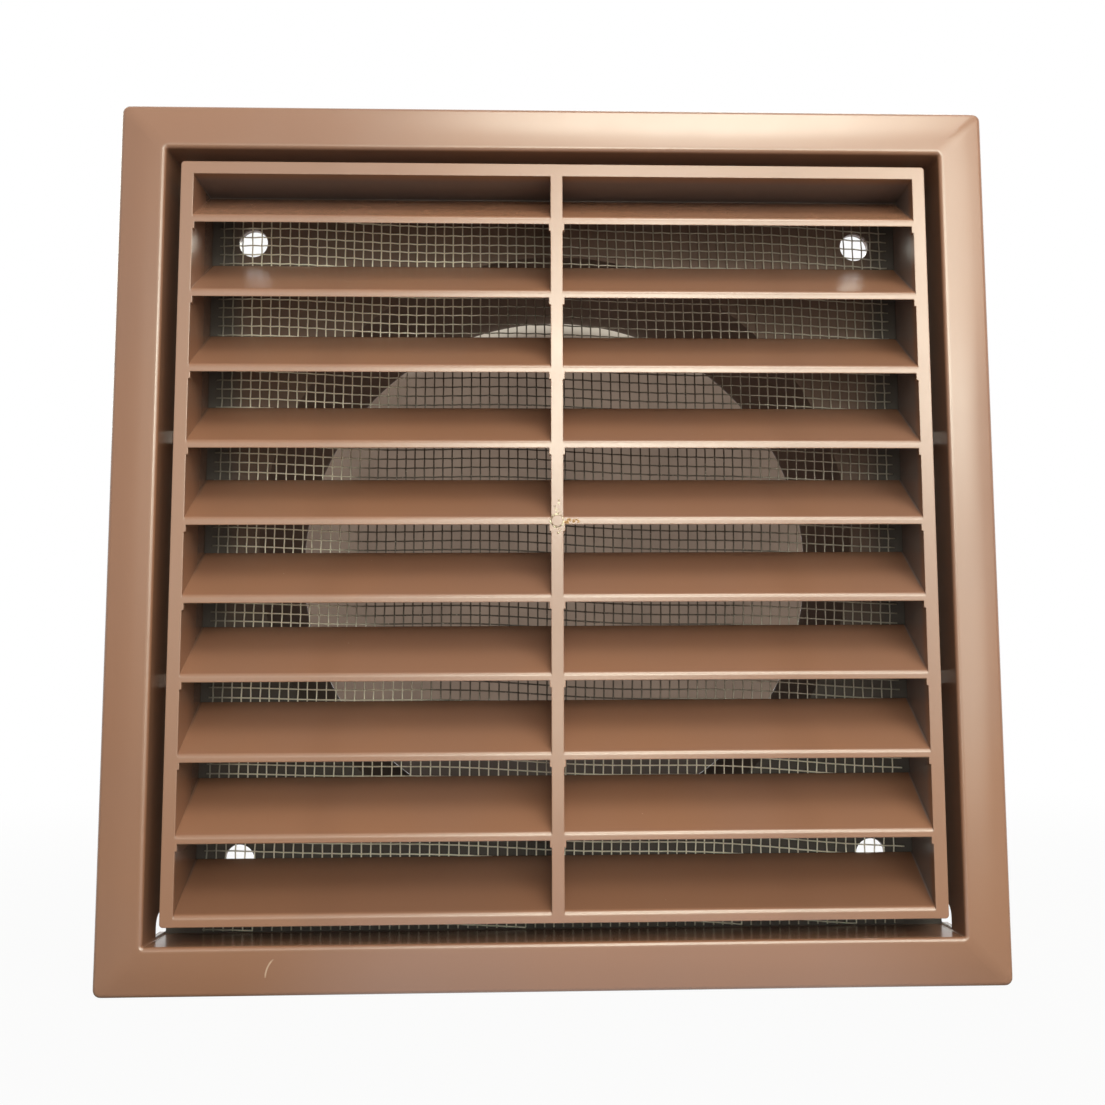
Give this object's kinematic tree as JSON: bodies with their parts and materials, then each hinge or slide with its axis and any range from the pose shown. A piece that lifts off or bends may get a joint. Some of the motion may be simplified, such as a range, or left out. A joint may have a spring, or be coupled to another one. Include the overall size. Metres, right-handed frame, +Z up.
{
  "type": "fixed louvre vent",
  "caption": "Square brown plastic wall vent with sloped louvres, a woven fly screen behind them, and a round spigot at the back for a duct.",
  "frame": {"origin": "on the spigot's axis, in the plane of the wall that the back plate rests on", "axes": "+Y along the spigot into the wall, +Z up, +X to the right of someone who faces the louvres"},
  "size_m": [0.2, 0.076, 0.2],
  "materials": {
    "brown_plastic": "satin",
    "louvre_plastic": "satin",
    "screen_wire": "dull drawn wire"
  },
  "bodies": {
    "root": {"outer_frame": "brown_plastic", "louvre_insert": "louvre_plastic", "fly_screen": "screen_wire"}
  },
  "joints": []
}
